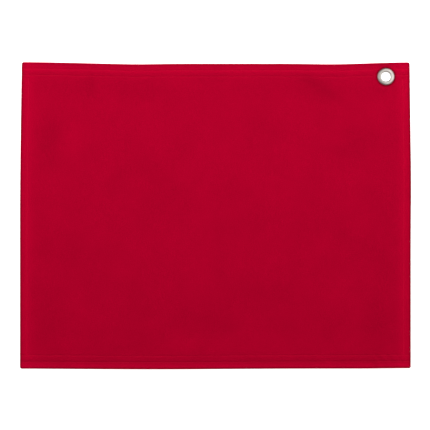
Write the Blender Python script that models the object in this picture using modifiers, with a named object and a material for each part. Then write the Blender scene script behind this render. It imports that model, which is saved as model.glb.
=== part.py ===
"""Golf towel with a corner eyelet, lying flat with its front up.

Metres, +Z up. X runs along the long side, +Y is the top edge, and the eyelet is in
the +X +Y corner. The origin is the middle of the towel, on the surface it lies on.

The towel is one ply of velour terry with its four edges turned under and stitched.
The cloth folds in half about an axis over its middle, so every piece that crosses
the middle is made as a left and a right half.
"""
import math

import bmesh
import bpy

MM = 0.001

# ---- Driving dimensions ----
TOWEL_WIDTH = 500 * MM  # X, over the side edges
TOWEL_DEPTH = 391 * MM  # Y, over the top and bottom edges
CLOTH = 2.0 * MM  # one ply with its pile
CLEARANCE = 0.3 * MM  # between pieces that touch

END_HEM_WIDTH = 19 * MM  # top and bottom hems, from the edge
SIDE_HEM_WIDTH = 11.5 * MM  # left and right hems, from the edge
HEM_THICKNESS = 2.2 * MM  # the two turned plies, pressed by the stitching
HEM_FOLD_RADIUS = 0.8 * MM  # on the folded outer edge
RAMP = 6 * MM  # run over which the cloth comes down from a hem to the floor

ROW_INSET = 2 * MM  # from a hem's inner fold to the row that holds it
ROW_SPACING = 8 * MM  # between the two rows of an end hem
THREAD = 0.4 * MM  # diameter
ROW_END_MARGIN = 2 * MM  # from the end of a row to the edge or hem ahead of it
FURROW_DEPTH = 0.4 * MM  # how far a row pulls the cloth down
FURROW_FLOOR = 0.9 * MM  # half width of the furrow's floor
FURROW_BANK = 1.0 * MM  # width of each of the furrow's slopes

EYELET_FROM_SIDE = 32 * MM  # centre to the right edge
EYELET_INTO_HEM = 1.5 * MM  # from the top hem's inner fold to the centre, towards the edge
EYELET_BORE = 6 * MM  # radius
FLANGE_WIDTH = 5 * MM  # from the bore to the rim
EYELET_METAL = 0.45 * MM  # sheet thickness
BARREL_LIP = 1.75 * MM  # how far the rolled end reaches out past the barrel
FLANGE_CROWN = 1.3 * MM  # height of the domed flange
PRESSED_CLOTH = 1.0 * MM  # the ply under the flange

DOME_POWER = 2.4  # how late the flange's dome turns down towards its rim

ROUND_STEPS = 48  # facets round the eyelet
LIP_STEPS, SHOULDER_STEPS, DOME_STEPS = 5, 6, 8  # facets along the flange's section
FOLD_STEPS = 3  # facets round the folded edge of a hem
THREAD_BEVEL = 2  # bevel resolution of a thread

# ---- Colours ----
CLOTH_RED = (0.415, 0.0012, 0.0225, 1)
THREAD_RED = (0.36, 0.001, 0.02, 1)
NICKEL = (0.62, 0.60, 0.57, 1)

# ---- Heights and places that follow from the dimensions ----
HALF_WIDTH = TOWEL_WIDTH / 2
HALF_DEPTH = TOWEL_DEPTH / 2
PLY_OVER_HEM = HEM_THICKNESS + CLEARANCE  # underside of the ply on a hem
HEM_TOP = PLY_OVER_HEM + CLOTH
FOLD_EDGE = CLEARANCE / 2  # each half stops this far from the fold's line

# Stitch rows, as distances from the edge
END_ROWS = (END_HEM_WIDTH - ROW_INSET - ROW_SPACING, END_HEM_WIDTH - ROW_INSET)
SIDE_ROWS = (SIDE_HEM_WIDTH - ROW_INSET,)

EYELET_X = HALF_WIDTH - EYELET_FROM_SIDE
EYELET_FROM_TOP = END_HEM_WIDTH - EYELET_INTO_HEM  # centre to the top edge
EYELET_Y = HALF_DEPTH - EYELET_FROM_TOP
FLANGE_RADIUS = EYELET_BORE + FLANGE_WIDTH
BARREL_RADIUS = EYELET_BORE + EYELET_METAL
FLATS = 1 / math.cos(math.pi / ROUND_STEPS)  # corner radius of a faceted hole over that of its flats
CLOTH_HOLE = (BARREL_RADIUS + CLEARANCE) * FLATS
RECESS_RADIUS = (FLANGE_RADIUS + CLEARANCE) * FLATS
FLANGE_SEAT = PLY_OVER_HEM + PRESSED_CLOTH
FLANGE_UNDERSIDE = FLANGE_SEAT + CLEARANCE
WASHER_UNDERSIDE = EYELET_METAL + CLEARANCE  # on the barrel's rolled end, which reaches the floor
WASHER_TOP = WASHER_UNDERSIDE + EYELET_METAL
WASHER_BORE = BARREL_RADIUS + 2 * CLEARANCE
PAD_REACH = RECESS_RADIUS + CLEARANCE  # the level cloth round the eyelet

NEEDLE_HEIGHT = HEM_TOP - FURROW_DEPTH + CLEARANCE + THREAD / 2
BOBBIN_HEIGHT = THREAD / 2

# The fold's axis is high enough for the left half to come down on the eyelet and on
# the right half's threads without reaching them.
LEFT_TOP = max(HEM_TOP, NEEDLE_HEIGHT + THREAD / 2)
RIGHT_TOP = max(LEFT_TOP, FLANGE_UNDERSIDE + FLANGE_CROWN)
FOLD_AXIS_HEIGHT = (LEFT_TOP + RIGHT_TOP + 2 * CLEARANCE) / 2


# ---- Scene and materials ----
def clear_scene():
    for thing in list(bpy.data.objects):
        bpy.data.objects.remove(thing, do_unlink=True)


def new_collection(name):
    collection = bpy.data.collections.new(name)
    bpy.context.scene.collection.children.link(collection)
    return collection


def new_material(name, colour, roughness, metallic=0.0):
    material = bpy.data.materials.new(name)
    material.use_nodes = True
    shader = material.node_tree.nodes["Principled BSDF"]
    shader.inputs["Base Color"].default_value = colour
    shader.inputs["Roughness"].default_value = roughness
    shader.inputs["Metallic"].default_value = metallic
    return material


clear_scene()
TOWEL = new_collection("golf_towel")
CUTTERS = new_collection("cutters")
VELOUR = new_material("velour_terry", CLOTH_RED, 0.9)
POLYESTER = new_material("polyester_thread", THREAD_RED, 0.6)
PLATE = new_material("nickel_plate", NICKEL, 0.25, 1.0)


def place(name, data, material):
    thing = bpy.data.objects.new(name, data)
    TOWEL.objects.link(thing)
    data.materials.append(material)
    return thing


def outline_curve(name, points, length, material):
    """A flat outline, filled and extruded to a length about its own plane."""
    curve = bpy.data.curves.new(name, "CURVE")
    curve.dimensions = "2D"
    curve.fill_mode = "BOTH"
    curve.extrude = length / 2
    spline = curve.splines.new("POLY")
    spline.points.add(len(points) - 1)
    for point, (across, up) in zip(spline.points, points):
        point.co = (across, up, 0, 1)
    spline.use_cyclic_u = True
    return place(name, curve, material)


def curve_to_mesh(thing):
    """The same object as a mesh with its caps welded, so that it can be cut."""
    bpy.context.view_layer.update()
    graph = bpy.context.evaluated_depsgraph_get()
    mesh = bpy.data.meshes.new_from_object(thing.evaluated_get(graph))
    shape = bmesh.new()
    shape.from_mesh(mesh)
    bmesh.ops.remove_doubles(shape, verts=shape.verts, dist=CLEARANCE / 100)
    bmesh.ops.recalc_face_normals(shape, faces=shape.faces)
    shape.to_mesh(mesh)
    shape.free()
    name, matrix, material = thing.name, thing.matrix_world.copy(), thing.data.materials[0]
    bpy.data.objects.remove(thing, do_unlink=True)
    solid = bpy.data.objects.new(name, mesh)
    TOWEL.objects.link(solid)
    solid.matrix_world = matrix
    if not mesh.materials:
        mesh.materials.append(material)
    return solid


def cylinder_cutter(name, radius, low, high):
    """A cylinder on the eyelet's axis, between two heights."""
    mesh = bpy.data.meshes.new(name)
    shape = bmesh.new()
    bmesh.ops.create_cone(
        shape, cap_ends=True, segments=ROUND_STEPS, radius1=radius, radius2=radius, depth=high - low
    )
    shape.to_mesh(mesh)
    shape.free()
    cutter = bpy.data.objects.new(name, mesh)
    CUTTERS.objects.link(cutter)
    cutter.location = (EYELET_X, EYELET_Y, (low + high) / 2)
    cutter.hide_render = True
    cutter.display_type = "WIRE"
    return cutter


def cut(thing, cutter):
    boolean = thing.modifiers.new(cutter.name, "BOOLEAN")
    boolean.operation = "DIFFERENCE"
    boolean.object = cutter


# ---- How high the ply lies ----
def slope(distance, start, run):
    """1 up to start, falling evenly to 0 over the run."""
    return min(1.0, max(0.0, 1 - (distance - start) / run))


def furrow(distance, rows):
    """How far the rows pull the cloth down at this distance from the edge."""
    return FURROW_DEPTH * max(slope(abs(distance - row), FURROW_FLOOR, FURROW_BANK) for row in rows)


def ply_start(hem_width, rows):
    """Distance from the edge at which the ply starts to come down from a hem."""
    return max(hem_width, rows[-1] + FURROW_FLOOR + FURROW_BANK) + CLEARANCE


END_START = ply_start(END_HEM_WIDTH, END_ROWS)
SIDE_START = ply_start(SIDE_HEM_WIDTH, SIDE_ROWS)


def ply_top(x, y):
    """Height of the front of the ply: up on the hems and round the eyelet."""
    from_side = HALF_WIDTH - abs(x)
    from_end = HALF_DEPTH - abs(y)
    from_eyelet = max(abs(x - EYELET_X), abs(y - EYELET_Y))
    raised = max(
        slope(from_side, SIDE_START, RAMP),
        slope(from_end, END_START, RAMP),
        slope(from_eyelet, PAD_REACH, RAMP),
    )
    clear_of_end = 1 - slope(from_end, END_START, FURROW_BANK)
    down = max(furrow(from_end, END_ROWS), furrow(from_side, SIDE_ROWS) * clear_of_end)
    return CLOTH + PLY_OVER_HEM * raised - down


def break_lines(hem_start, rows):
    """Distances from an edge at which the ply's height changes its slope."""
    lines = [0, hem_start, hem_start + FURROW_BANK, hem_start + RAMP]
    for row in rows:
        lines += [row + side * reach for side in (-1, 1)
                  for reach in (FURROW_FLOOR, FURROW_FLOOR + FURROW_BANK)]
    return lines


def tidy_lines(lines, low, high):
    """Sorted lines inside the limits, none closer to another than the clearance."""
    kept = [low]
    for line in sorted(lines):
        if kept[-1] + CLEARANCE / 2 < line < high - CLEARANCE / 2:
            kept.append(line)
    return kept + [high]


def eyelet_lines(middle):
    return [middle + side * reach for side in (-1, 1) for reach in (PAD_REACH, PAD_REACH + RAMP)]


def make_panel(name, side):
    """Half of the ply: a sheet laid over the hems, and extruded down by its thickness."""
    across = [HALF_WIDTH - line for line in break_lines(SIDE_START, SIDE_ROWS)]
    across += eyelet_lines(EYELET_X)
    xs = tidy_lines(across, FOLD_EDGE, HALF_WIDTH)
    if side < 0:
        xs = [-x for x in reversed(xs)]
    along = [end * (HALF_DEPTH - line) for line in break_lines(END_START, END_ROWS) for end in (-1, 1)]
    along += eyelet_lines(EYELET_Y)
    ys = tidy_lines(along, -HALF_DEPTH, HALF_DEPTH)

    mesh = bpy.data.meshes.new(name)
    shape = bmesh.new()
    columns, rows = len(xs) - 1, len(ys) - 1
    bmesh.ops.create_grid(shape, x_segments=columns, y_segments=rows, size=1)
    for vert in shape.verts:
        x = xs[round((vert.co.x + 1) / 2 * columns)]
        y = ys[round((vert.co.y + 1) / 2 * rows)]
        vert.co = (x, y, ply_top(x, y))
    front = list(shape.verts)
    bmesh.ops.extrude_face_region(shape, geom=shape.faces[:], use_keep_orig=True)
    back = set(shape.verts) - set(front)
    bmesh.ops.translate(shape, verts=list(back), vec=(0, 0, -CLOTH))
    bmesh.ops.recalc_face_normals(shape, faces=shape.faces)
    shape.to_mesh(mesh)
    shape.free()
    return place(name, mesh, VELOUR)


# ---- Hems ----
def hem_outline(width, rows):
    """Section of a hem: across from the folded edge, and up from the floor.

    The underside has a channel with 45 degree sides for each bobbin thread, and the
    top follows the furrow that each row pulls into the ply above.
    """
    channel = THREAD / 2 + (THREAD / 2 + CLEARANCE) * math.sqrt(2)
    points = [(0, HEM_FOLD_RADIUS)]
    for step in range(1, FOLD_STEPS + 1):
        turn = math.radians(90 * step / FOLD_STEPS)
        points.append((HEM_FOLD_RADIUS * (1 - math.cos(turn)), HEM_FOLD_RADIUS * (1 - math.sin(turn))))
    for row in rows:
        points += [(row - channel, 0), (row, channel), (row + channel, 0)]
    points.append((width, 0))
    floor = FURROW_FLOOR + CLEARANCE
    bank = floor + FURROW_BANK
    last = rows[-1]
    inner = HEM_THICKNESS - FURROW_DEPTH * slope(abs(width - last), floor, FURROW_BANK)
    points.append((width, inner))
    for row in reversed(rows):
        for reach, depth in ((bank, 0), (floor, FURROW_DEPTH), (-floor, FURROW_DEPTH), (-bank, 0)):
            if row + reach < width:
                points.append((row + reach, HEM_THICKNESS - depth))
    points.append((0, HEM_THICKNESS))
    return points


def make_end_hem(name, side, end):
    """Half of the top (end 1) or bottom (end -1) hem."""
    length = HALF_WIDTH - FOLD_EDGE
    hem = outline_curve(name, hem_outline(END_HEM_WIDTH, END_ROWS), length, VELOUR)
    hem.rotation_euler = (math.radians(90), 0, math.radians(-90 * end))
    hem.location = (side * (FOLD_EDGE + length / 2), end * HALF_DEPTH, 0)
    return curve_to_mesh(hem)


def make_side_hem(name, side):
    """The left or right hem, which stops at the end hems."""
    length = TOWEL_DEPTH - 2 * (END_HEM_WIDTH + CLEARANCE)
    hem = outline_curve(name, hem_outline(SIDE_HEM_WIDTH, SIDE_ROWS), length, VELOUR)
    hem.rotation_euler = (math.radians(90), 0, math.radians(180 if side > 0 else 0))
    hem.location = (side * HALF_WIDTH, 0, 0)
    return curve_to_mesh(hem)


# ---- Sewing threads ----
def make_thread(name, start, end):
    """A straight run of thread between two points."""
    curve = bpy.data.curves.new(name, "CURVE")
    curve.dimensions = "3D"
    curve.bevel_depth = THREAD / 2
    curve.bevel_resolution = THREAD_BEVEL
    curve.use_fill_caps = True
    spline = curve.splines.new("POLY")
    spline.points.add(1)
    for point, place_at in zip(spline.points, (start, end)):
        point.co = (*place_at, 1)
    return place(name, curve, POLYESTER)


def make_row(name, start, end):
    """One lockstitched row: the needle thread on the front, the bobbin thread on the back."""
    for kind, height in (("needle_thread", NEEDLE_HEIGHT), ("bobbin_thread", BOBBIN_HEIGHT)):
        make_thread(f"{kind}_{name}", (*start, height), (*end, height))


def make_side_rows(side, word):
    reach = HALF_DEPTH - END_START - FURROW_BANK - ROW_END_MARGIN
    for row in SIDE_ROWS:
        x = side * (HALF_WIDTH - row)
        make_row(f"side_{word}", (x, -reach), (x, reach))


def make_end_rows(end, word):
    """Both rows of an end hem, each in halves, and stopped by the eyelet where they meet it."""
    outer = HALF_WIDTH - ROW_END_MARGIN
    for row, row_word in zip(END_ROWS, ("outer", "inner")):
        y = end * (HALF_DEPTH - row)
        make_row(f"{word}_{row_word}_left", (-outer, y), (-FOLD_EDGE, y))
        reach = RECESS_RADIUS + CLEARANCE
        if abs(y - EYELET_Y) < reach:
            chord = math.sqrt(reach ** 2 - (y - EYELET_Y) ** 2)
            make_row(f"{word}_{row_word}_right", (FOLD_EDGE, y), (EYELET_X - chord, y))
            make_row(f"{word}_{row_word}_corner", (EYELET_X + chord, y), (outer, y))
        else:
            make_row(f"{word}_{row_word}_right", (FOLD_EDGE, y), (outer, y))


# ---- Eyelet ----
def arc(middle_r, middle_z, radius, start, stop, steps):
    """Points (r, z) on a circle, between two angles in degrees from +r."""
    points = []
    for step in range(steps + 1):
        turn = math.radians(start + (stop - start) * step / steps)
        points.append((middle_r + radius * math.cos(turn), middle_z + radius * math.sin(turn)))
    return points


def sheet_section(path, thickness):
    """The closed outline of sheet metal whose middle follows the path."""
    left, right = [], []
    for index, (r, z) in enumerate(path):
        before = path[max(index - 1, 0)]
        after = path[min(index + 1, len(path) - 1)]
        along_r, along_z = after[0] - before[0], after[1] - before[1]
        length = math.hypot(along_r, along_z)
        off_r, off_z = -along_z / length * thickness / 2, along_r / length * thickness / 2
        left.append((r + off_r, z + off_z))
        right.append((r - off_r, z - off_z))
    return left + right[::-1]


def turned(name, outline, material):
    """An outline (r, z) turned about the eyelet's axis."""
    area = sum(a[0] * b[1] - b[0] * a[1] for a, b in zip(outline, outline[1:] + outline[:1]))
    if area > 0:  # the outer side of the outline has to run from top to bottom
        outline = outline[::-1]
    mesh = bpy.data.meshes.new(name)
    count = len(outline)
    verts = [(r, 0, z) for r, z in outline]
    mesh.from_pydata(verts, [(i, (i + 1) % count) for i in range(count)], [])
    ring = place(name, mesh, material)
    ring.location = (EYELET_X, EYELET_Y, 0)
    screw = ring.modifiers.new("turn", "SCREW")
    screw.steps = ROUND_STEPS
    screw.render_steps = ROUND_STEPS
    screw.use_merge_vertices = True
    screw.merge_threshold = 0.01 * MM
    screw.use_smooth_shade = True
    return ring


def make_flange():
    """Flange and barrel in one: domed over the front, and rolled out under the washer."""
    half = EYELET_METAL / 2
    wall = EYELET_BORE + half
    lip_height = half
    roll = WASHER_UNDERSIDE + CLEARANCE - lip_height - half / 2
    shoulder = FLANGE_CROWN - half
    crown = FLANGE_UNDERSIDE + FLANGE_CROWN - half
    rim = FLANGE_RADIUS - half / 2
    path = [(BARREL_RADIUS + BARREL_LIP, lip_height)]
    path += arc(wall + roll, lip_height + roll, roll, 270, 180, LIP_STEPS)
    path += arc(wall + shoulder, crown - shoulder, shoulder, 180, 90, SHOULDER_STEPS)
    drop = crown - FLANGE_UNDERSIDE - half
    reach = rim - (wall + shoulder)
    for step in range(1, DOME_STEPS + 1):
        share = step / DOME_STEPS
        path.append((wall + shoulder + reach * share, crown - drop * share ** DOME_POWER))
    return turned("eyelet_flange", sheet_section(path, EYELET_METAL), PLATE)


def make_washer():
    """The plain ring behind the cloth, which the barrel's end is rolled out over."""
    middle = (WASHER_TOP + WASHER_UNDERSIDE) / 2
    path = [(WASHER_BORE, middle), ((WASHER_BORE + FLANGE_RADIUS) / 2, middle), (FLANGE_RADIUS, middle)]
    return turned("eyelet_washer", sheet_section(path, EYELET_METAL), PLATE)


def make_eyelet():
    make_flange()
    make_washer()
    above = FLANGE_UNDERSIDE + 2 * FLANGE_CROWN
    below = -CLOTH
    hole = cylinder_cutter("cloth_hole", CLOTH_HOLE, below, above)
    seat = cylinder_cutter("flange_seat", RECESS_RADIUS, FLANGE_SEAT, above)
    pocket = cylinder_cutter("washer_pocket", RECESS_RADIUS, below, WASHER_TOP + CLEARANCE)
    for cutter in (hole, seat):
        cut(bpy.data.objects["panel_right"], cutter)
    for cutter in (hole, pocket):
        cut(bpy.data.objects["top_hem_right"], cutter)


# ---- Assembly ----
for side_sign, side_word in ((-1, "left"), (1, "right")):
    make_panel(f"panel_{side_word}", side_sign)
    make_side_hem(f"side_hem_{side_word}", side_sign)
    make_side_rows(side_sign, side_word)
    for end_sign, end_word in ((1, "top"), (-1, "bottom")):
        make_end_hem(f"{end_word}_hem_{side_word}", side_sign, end_sign)
for end_sign, end_word in ((1, "top"), (-1, "bottom")):
    make_end_rows(end_sign, end_word)
make_eyelet()


def new_half(name, height):
    """An empty that carries one half of the towel."""
    half = bpy.data.objects.new(name, None)
    half.location.z = height
    TOWEL.objects.link(half)
    return half


RIGHT_HALF = new_half("right_half", 0)
LEFT_HALF = new_half("left_half", FOLD_AXIS_HEIGHT)  # turns about Y to fold the towel
bpy.context.view_layer.update()
for piece in [thing for thing in TOWEL.objects if thing.type != "EMPTY"]:
    piece.parent = LEFT_HALF if piece.name.endswith("_left") else RIGHT_HALF
    piece.matrix_parent_inverse = piece.parent.matrix_world.inverted()
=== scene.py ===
# %% [markdown]
# # A velour golf towel with a corner eyelet
# The towel is one ply of red terry cloth. Its front is sheared to a velour and its back
# keeps the loops. The four edges are turned under and sewn, and a metal eyelet in one
# corner takes the clip of a golf bag. It lies flat with its front up.
#
# Every size below is read from it, so that the fine surface lies exactly where the
# plain solids do.

# %% Load the frame
import math

import bpy
import numpy as np
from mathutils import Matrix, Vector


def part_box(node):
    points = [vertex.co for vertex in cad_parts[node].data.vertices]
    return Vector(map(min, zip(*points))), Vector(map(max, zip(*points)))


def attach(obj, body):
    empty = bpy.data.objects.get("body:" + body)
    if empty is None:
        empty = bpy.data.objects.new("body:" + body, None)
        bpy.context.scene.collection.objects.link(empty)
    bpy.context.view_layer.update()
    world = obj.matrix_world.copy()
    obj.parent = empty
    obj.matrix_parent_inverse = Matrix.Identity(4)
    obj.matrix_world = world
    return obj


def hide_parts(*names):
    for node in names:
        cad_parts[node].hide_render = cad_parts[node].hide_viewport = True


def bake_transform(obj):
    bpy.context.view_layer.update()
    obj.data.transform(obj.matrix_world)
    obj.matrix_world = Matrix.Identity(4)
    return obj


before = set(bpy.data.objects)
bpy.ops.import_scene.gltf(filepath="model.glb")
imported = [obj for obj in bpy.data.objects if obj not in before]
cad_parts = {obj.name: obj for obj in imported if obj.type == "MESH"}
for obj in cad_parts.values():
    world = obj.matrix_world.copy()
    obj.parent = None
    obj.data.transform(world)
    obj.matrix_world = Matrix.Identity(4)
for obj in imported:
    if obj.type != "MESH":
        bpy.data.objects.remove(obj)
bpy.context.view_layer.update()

MM = 0.001

# %% [markdown]
# ## Sizes
# A hem is the cloth turned under twice, so it is higher than the field inside it. Its
# width, its height and the places of its stitch rows come from the frame's boxes.

# %% Read the sizes
panel_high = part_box("panel_right")[1]
HALF_WIDTH = panel_high.x
HALF_DEPTH = panel_high.y
HEM_TOP = panel_high.z
END_HEM = HALF_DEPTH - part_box("top_hem_left")[0].y
SIDE_HEM = HALF_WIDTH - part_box("side_hem_right")[0].x


def middle(node):
    """The middle of a node's box."""
    low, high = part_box(node)
    return (low + high) / 2


END_ROWS = [HALF_DEPTH - middle(f"needle_thread_top_{row}_left").y for row in ("outer", "inner")]
SIDE_ROWS = [HALF_WIDTH - middle("needle_thread_side_right").x]
thread_low, thread_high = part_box("needle_thread_top_outer_left")
THREAD = thread_high.z - thread_low.z

flange_low, flange_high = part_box("eyelet_flange")
washer_low, washer_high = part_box("eyelet_washer")
EYELET_X, EYELET_Y, _ = middle("eyelet_flange")
FLANGE = (flange_high.x - flange_low.x) / 2
FLANGE_TOP = flange_high.z
METAL = washer_high.z - washer_low.z
flange_points = np.array([vert.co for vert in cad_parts["eyelet_flange"].data.vertices])
BORE = np.hypot(flange_points[:, 0] - EYELET_X, flange_points[:, 1] - EYELET_Y).min()
print("hems", round(END_HEM / MM, 1), round(SIDE_HEM / MM, 1), "mm, bore", round(2 * BORE / MM, 1), "mm")

# %% [markdown]
# ## The camera
# It looks straight down, as for a catalogue picture. A long lens from high up keeps the
# towel's sides parallel, which a short one from close by would not. The Standard view
# transform shows each colour as it was set.

# %% Camera
VIEW_WIDTH = 549.3 * MM  # what the picture spans at the towel
VIEW_CENTRE = (-0.5 * MM, 1.1 * MM)
LENS = 100  # millimetres, on Blender's 36 mm sensor

camera = bpy.data.objects.new("camera", bpy.data.cameras.new("camera"))
bpy.context.collection.objects.link(camera)
camera.data.lens = LENS
camera.location = (*VIEW_CENTRE, VIEW_WIDTH * LENS / camera.data.sensor_width + HEM_TOP)
bpy.context.scene.camera = camera
bpy.context.scene.view_settings.view_transform = "Standard"
print("camera", round(camera.location.z, 3), "m up")

# %% [markdown]
# ## Helpers for materials
# Blender's sockets take linear colours, and colours are easier to choose as sRGB hex
# values, so one function converts them. A second one adds a node with its settings and
# its links, which keeps every material below short.

# %% One function for colours, one for nodes
def linear(hex_colour):
    """An sRGB hex value as linear red, green, blue and alpha."""
    parts = [int(hex_colour[start:start + 2], 16) / 255 for start in (1, 3, 5)]
    return (*[c / 12.92 if c <= 0.04045 else ((c + 0.055) / 1.055) ** 2.4 for c in parts], 1)


def add(tree, kind, inputs=None, **settings):
    """Adds a node. An input is a value, or another node's output to link from."""
    node = tree.nodes.new(kind)
    for name, value in settings.items():
        setattr(node, name, value)
    for name, value in (inputs or {}).items():
        if isinstance(value, bpy.types.NodeSocket):
            tree.links.new(value, node.inputs[name])
        else:
            node.inputs[name].default_value = value
    return node


def new_material(name):
    """An empty material and its node tree."""
    material = bpy.data.materials.new(name)
    material.use_nodes = True
    material.node_tree.nodes.clear()
    return material, material.node_tree


def finish_material(tree, shader):
    """Links the shader to the material's output."""
    add(tree, "ShaderNodeOutputMaterial", {"Surface": shader.outputs[0]})


print("mid grey #808080 is", round(linear("#808080")[0], 3), "in linear light")

# %% [markdown]
# ## The floor and the room
# The towel lies on a wide sheet of white paper in a white room. A picture of this kind is
# exposed until the paper is pure white. Here the paper glows a little, which does the same
# and takes away the towel's faint shadow. The room shows as white to the camera but lights
# the cloth only weakly, so that the softboxes still model the shapes.

# %% Floor and room
FLOOR_SIZE = 8
FLOOR_DROP = 0.2 * MM  # below the towel, so that the two don't flicker through each other
PAPER_WHITE = "#f5f5f5"
PAPER_GLOW = 0.85
ROOM_LIGHT = 0.22  # what the room lights the cloth with
ROOM_IN_METAL = 0.35  # what shiny metal sees of it

paper, tree = new_material("white_paper_sweep")  # matt and even, so the eye passes over it
finish_material(tree, add(tree, "ShaderNodeBsdfPrincipled", {
    "Base Color": linear(PAPER_WHITE), "Roughness": 0.9,
    "Emission Color": (1, 1, 1, 1), "Emission Strength": PAPER_GLOW,
}))
bpy.ops.mesh.primitive_plane_add(size=FLOOR_SIZE, location=(0, 0, -FLOOR_DROP))
floor = bpy.context.object
floor.name = "paper_floor"
floor.data.materials.append(paper)

world = bpy.data.worlds.new("white_room")
bpy.context.scene.world = world
world.use_nodes = True
tree = world.node_tree
tree.nodes.clear()
seen = add(tree, "ShaderNodeBackground", {"Color": (1, 1, 1, 1), "Strength": 1})
lit = add(tree, "ShaderNodeBackground", {"Color": (1, 1, 1, 1), "Strength": ROOM_LIGHT})
path = add(tree, "ShaderNodeLightPath")
share = add(tree, "ShaderNodeMath", {
    0: path.outputs["Is Glossy Ray"], 1: ROOM_IN_METAL - ROOM_LIGHT, 2: path.outputs["Is Camera Ray"],
}, operation="MULTIPLY_ADD")
mix = add(tree, "ShaderNodeMixShader", {0: share.outputs[0], 1: lit.outputs[0], 2: seen.outputs[0]})
add(tree, "ShaderNodeOutputWorld", {"Surface": mix.outputs[0]})
print("paper", FLOOR_SIZE, "m wide, room light", ROOM_LIGHT)

# %% [markdown]
# ## The softboxes
# One stands left and one right, as for copying a picture, so neither side falls in
# shadow. A third beyond the top edge makes the top a little brighter than the bottom. A
# large light gives the velour its even glow and the metal broad, soft highlights.

# %% Three softboxes
SIDE_PLACE = (0.75, 0.3, 0.8)  # the right one; the left one mirrors it
SIDE_POWER = 7.6
TOP_PLACE = (0, 1.0, 0.5)
TOP_POWER = 10
LIGHT_SIZE = 1.2


def softbox(name, place, power):
    """A square light that faces the middle of the towel."""
    lamp = bpy.data.lights.new(name, "AREA")
    lamp.energy = power
    lamp.size = LIGHT_SIZE
    box = bpy.data.objects.new(name, lamp)
    bpy.context.collection.objects.link(box)
    box.location = place
    box.rotation_euler = box.location.to_track_quat("Z", "Y").to_euler()
    return box


softbox("softbox_right", SIDE_PLACE, SIDE_POWER)
softbox("softbox_left", (-SIDE_PLACE[0], *SIDE_PLACE[1:]), SIDE_POWER)
top_box = softbox("softbox_top", TOP_PLACE, TOP_POWER)
top_box.visible_glossy = False  # the metal mirrors the side boxes only
print("softboxes of", SIDE_POWER, SIDE_POWER, "and", TOP_POWER, "W")

# %% [markdown]
# ## The section of the towel
# From an edge inwards, the front rises round the fold, swells between the stitch rows,
# dips into a furrow at each row, and comes down from the hem to the field over three
# centimetres. A towel could be sculpted or simulated, but a section that is written down
# gives the height at any point, so the threads can be laid exactly on the cloth. It is
# put together from a few smooth shapes.

# %% Shapes that the section is put together from
def ease(share):
    """0 to 1 with level ends."""
    share = np.clip(share, 0, 1)
    return share * share * (3 - 2 * share)


def fall(distance, start, run):
    """1 up to start, easing down to 0 over the run."""
    return 1 - ease((distance - start) / run)


def dip(distance, centre, reach):
    """A smooth bell, 1 at the centre."""
    return np.exp(-((distance - centre) / reach) ** 2)


def arch(distance, start, stop):
    """A pillow between two lines, 1 halfway and 0 at and beyond both."""
    return np.clip(1 - ((2 * distance - start - stop) / (stop - start)) ** 2, 0, 1)


print("halfway, ease gives", ease(0.5), "and arch", arch(0.5, 0, 1))

# %% [markdown]
# ## How the edges bow
# No sewn towel is a true rectangle. The stitching draws the top edge in, so its corners
# stand out, and the towel tapers a little towards the top. Each edge gets its own gentle
# curve, which fades out into the field, so that threads and eyelet move with the cloth.

# %% How the outline bows
CORNER_RADIUS = 2.5 * MM
TOP_DRAW = 0.8 * MM  # the middle of the top edge, inside the straight line
LEFT_RISE, RIGHT_RISE = 2.1 * MM, 1.75 * MM  # the top corners, above the middle of that edge
LEFT_REACH, RIGHT_REACH = 140 * MM, 90 * MM  # how far from the corner that starts
TOP_PUCKER = 0.6 * MM  # two places where the seam draws the top edge in further
LEFT_PUCKER = (-98 * MM, 36 * MM)  # place and reach
RIGHT_PUCKER = (146 * MM, 34 * MM)
BOTTOM_IN = 0.05 * MM
BOTTOM_BOW = 1.0 * MM  # how far the bottom edge bows out
BOTTOM_BELLY = (-80 * MM, 120 * MM)  # place and reach of that bow
BOTTOM_LIFT = 0.5 * MM  # its right corner, inwards
LIFT_START, LIFT_RUN = 180 * MM, 70 * MM
LEFT_LEAN, RIGHT_LEAN = 2.4 * MM, 1.5 * MM  # how far in the top corners are
LEFT_POWER, RIGHT_POWER = 1.6, 2  # how late each side starts to lean
RIGHT_BOW = 0.5 * MM
RIGHT_BELLY = (48 * MM, 50 * MM)
BOW_FADE = 90 * MM  # how far into the cloth an edge's bow is felt


def round_corner(x, y):
    """Turns the last square of each corner into a quarter circle."""
    a = np.clip(1 - (HALF_WIDTH - abs(x)) / CORNER_RADIUS, 0, 1)
    b = np.clip(1 - (HALF_DEPTH - abs(y)) / CORNER_RADIUS, 0, 1)
    keep = np.maximum(a, b) / np.maximum(np.hypot(a, b), 1e-9)
    x = x - np.sign(x) * a * (1 - keep) * CORNER_RADIUS * (b > 0)
    y = y - np.sign(y) * b * (1 - keep) * CORNER_RADIUS * (a > 0)
    return x, y


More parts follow.
